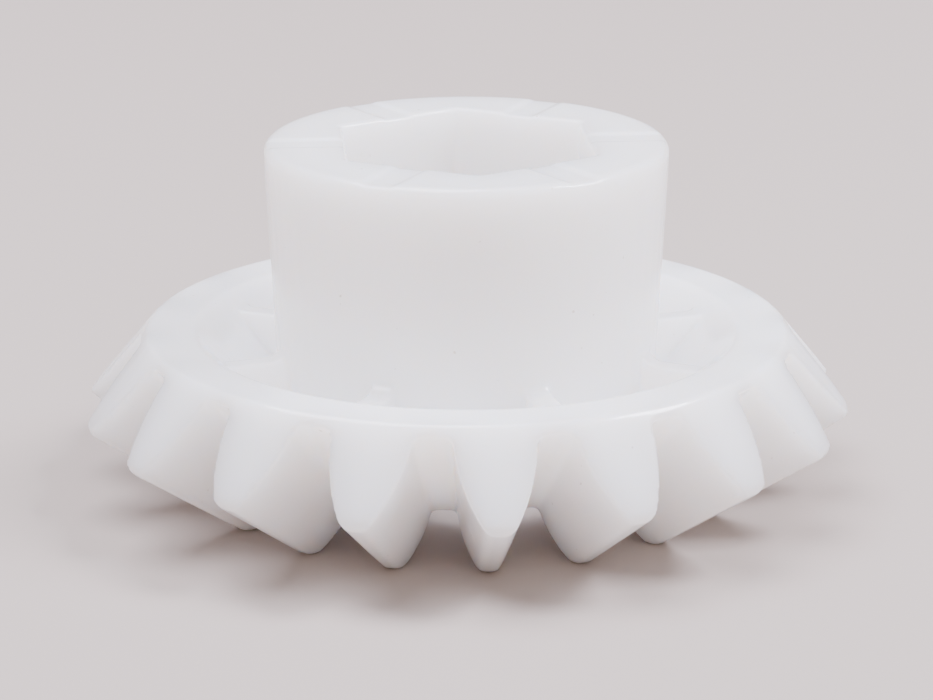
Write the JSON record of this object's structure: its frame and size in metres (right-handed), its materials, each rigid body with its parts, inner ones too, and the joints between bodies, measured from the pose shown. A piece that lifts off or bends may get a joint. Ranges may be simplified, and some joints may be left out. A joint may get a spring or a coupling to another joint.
{
  "type": "bevel gear",
  "caption": "Straight bevel gear in white plastic with a ribbed recess behind its rim and a tall hub that holds a hexagonal drive socket.",
  "frame": {"origin": "on the gear's axis, in the plane that the toe ends of the teeth rest on", "axes": "+Z along the gear's axis, from the small (toe) end of the teeth to the end of the hub; one tooth is centred on -Y and one tooth space on +X"},
  "size_m": [0.038, 0.0384, 0.0177],
  "materials": {
    "natural_plastic": "natural white translucent nylon or acetal, satin to glossy as moulded"
  },
  "bodies": {
    "root": {"bevel_gear": "natural_plastic"}
  },
  "joints": []
}
